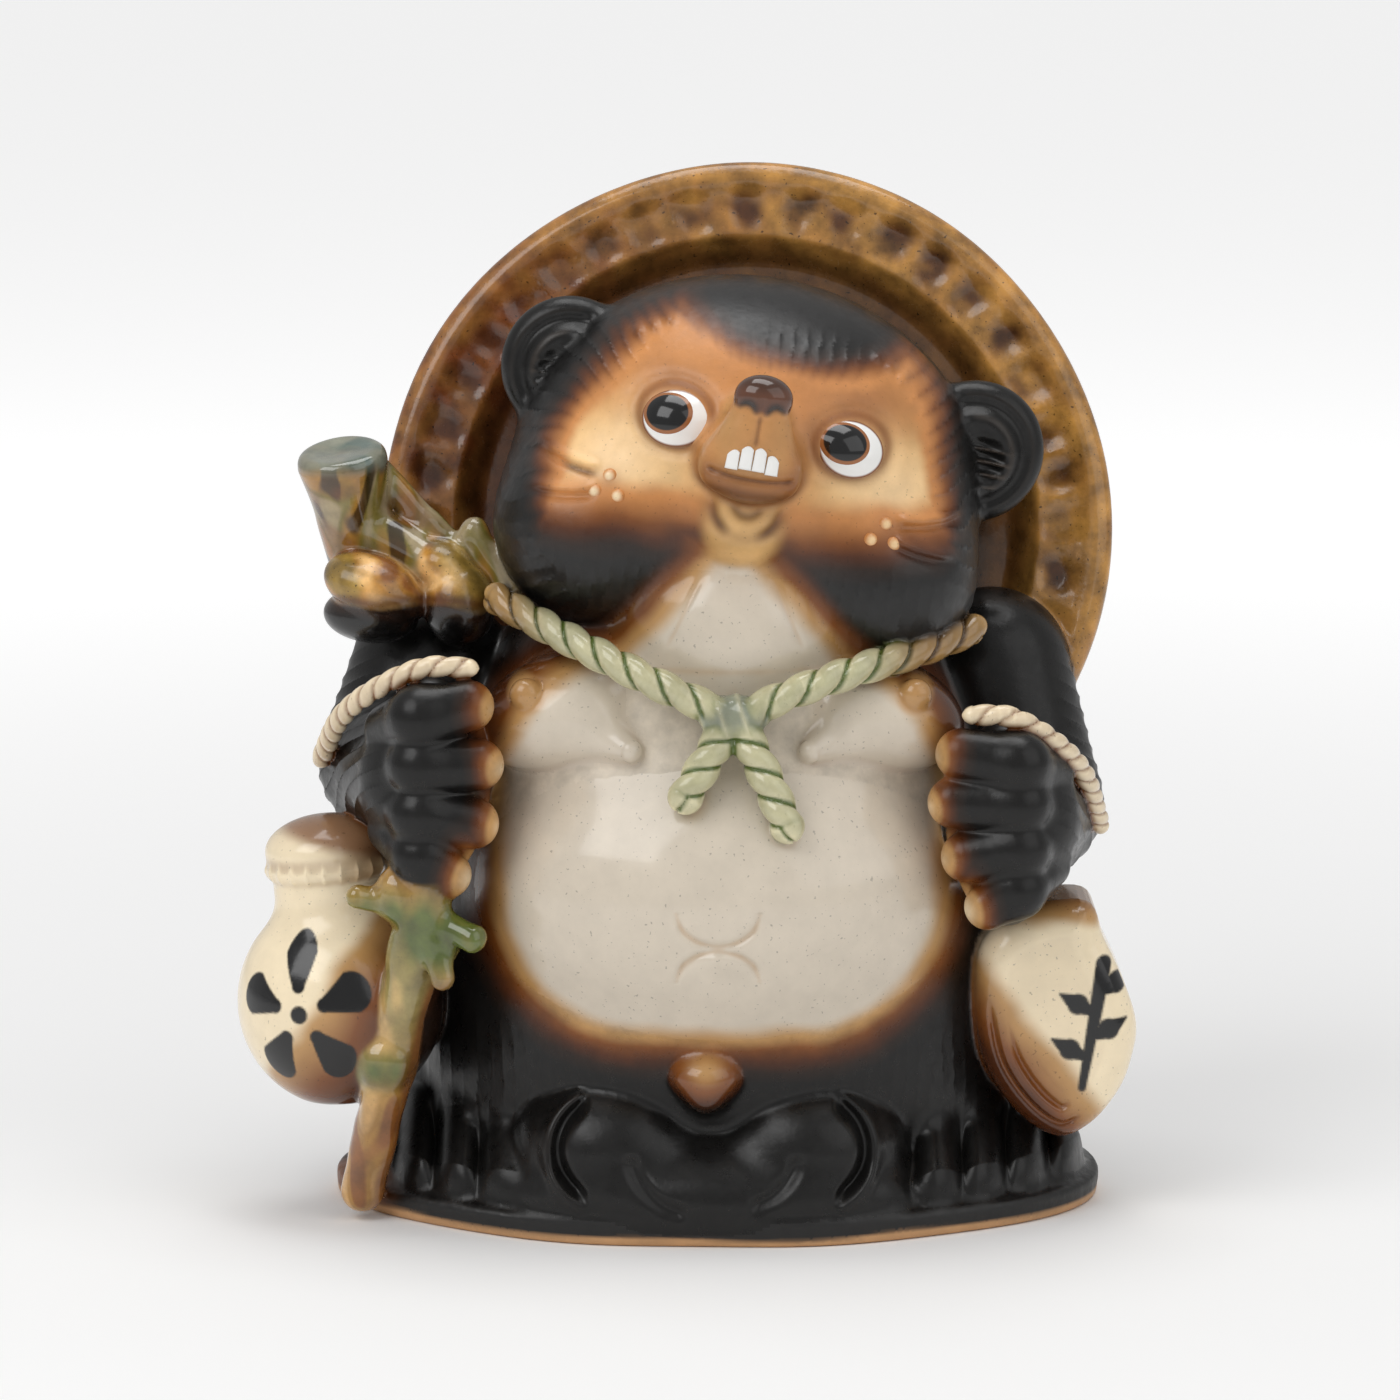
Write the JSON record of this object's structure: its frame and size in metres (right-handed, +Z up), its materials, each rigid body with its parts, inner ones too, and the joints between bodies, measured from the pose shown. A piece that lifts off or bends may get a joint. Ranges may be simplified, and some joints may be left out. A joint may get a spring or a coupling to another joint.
{
  "type": "tanuki statue",
  "caption": "Glazed ceramic tanuki figure seated on a low base, with a tipped-back wide hat, sake flask, account book and walking staff.",
  "frame": {"origin": "on the underside of the base, at the middle of its outline, under the body's mid-plane", "axes": "+Z up; the figure faces -Y; +X is the figure's left"},
  "size_m": [0.1762, 0.1126, 0.2],
  "materials": {
    "clay": "unglazed fired clay",
    "black_glaze": "satin black glaze",
    "cream_glaze": "speckled off-white glaze",
    "tan_glaze": "sprayed tan and brown glaze",
    "white_glaze": "gloss white glaze",
    "gloss_black": "gloss black glaze",
    "green_glaze": "pale celadon glaze, dark green in the grooves",
    "olive_glaze": "gloss olive and ochre glaze",
    "amber_glaze": "mottled amber and red-brown glaze"
  },
  "bodies": {
    "root": {"base_plate": "clay", "body_shell": "black_glaze", "head_shell": "tan_glaze", "belly": "cream_glaze", "throat": "cream_glaze", "right_chest_pad": "cream_glaze", "left_chest_pad": "cream_glaze", "belly_knob": "cream_glaze", "lap_pouch": "black_glaze", "right_foot": "black_glaze", "left_foot": "black_glaze", "right_arm": "black_glaze", "left_arm": "black_glaze", "right_paw": "black_glaze", "left_paw": "black_glaze", "right_wrist_cord": "cream_glaze", "left_wrist_cord": "cream_glaze", "hat": "amber_glaze", "right_ear": "black_glaze", "left_ear": "black_glaze", "right_eye": "white_glaze", "left_eye": "white_glaze", "right_pupil": "gloss_black", "left_pupil": "gloss_black", "muzzle": "tan_glaze", "nose": "gloss_black", "teeth": "white_glaze", "chin": "tan_glaze", "right_cheek_dots": "tan_glaze", "left_cheek_dots": "tan_glaze", "right_collar_rope": "green_glaze", "left_collar_rope": "green_glaze", "collar_knot": "green_glaze", "right_rope_end": "green_glaze", "left_rope_end": "green_glaze", "flask": "cream_glaze", "flask_cap": "cream_glaze", "account_book": "cream_glaze", "staff_shaft": "olive_glaze", "staff_stump": "olive_glaze", "staff_fork": "olive_glaze", "staff_outer_burl": "amber_glaze", "staff_inner_burl": "amber_glaze", "tail": "black_glaze"}
  },
  "joints": []
}
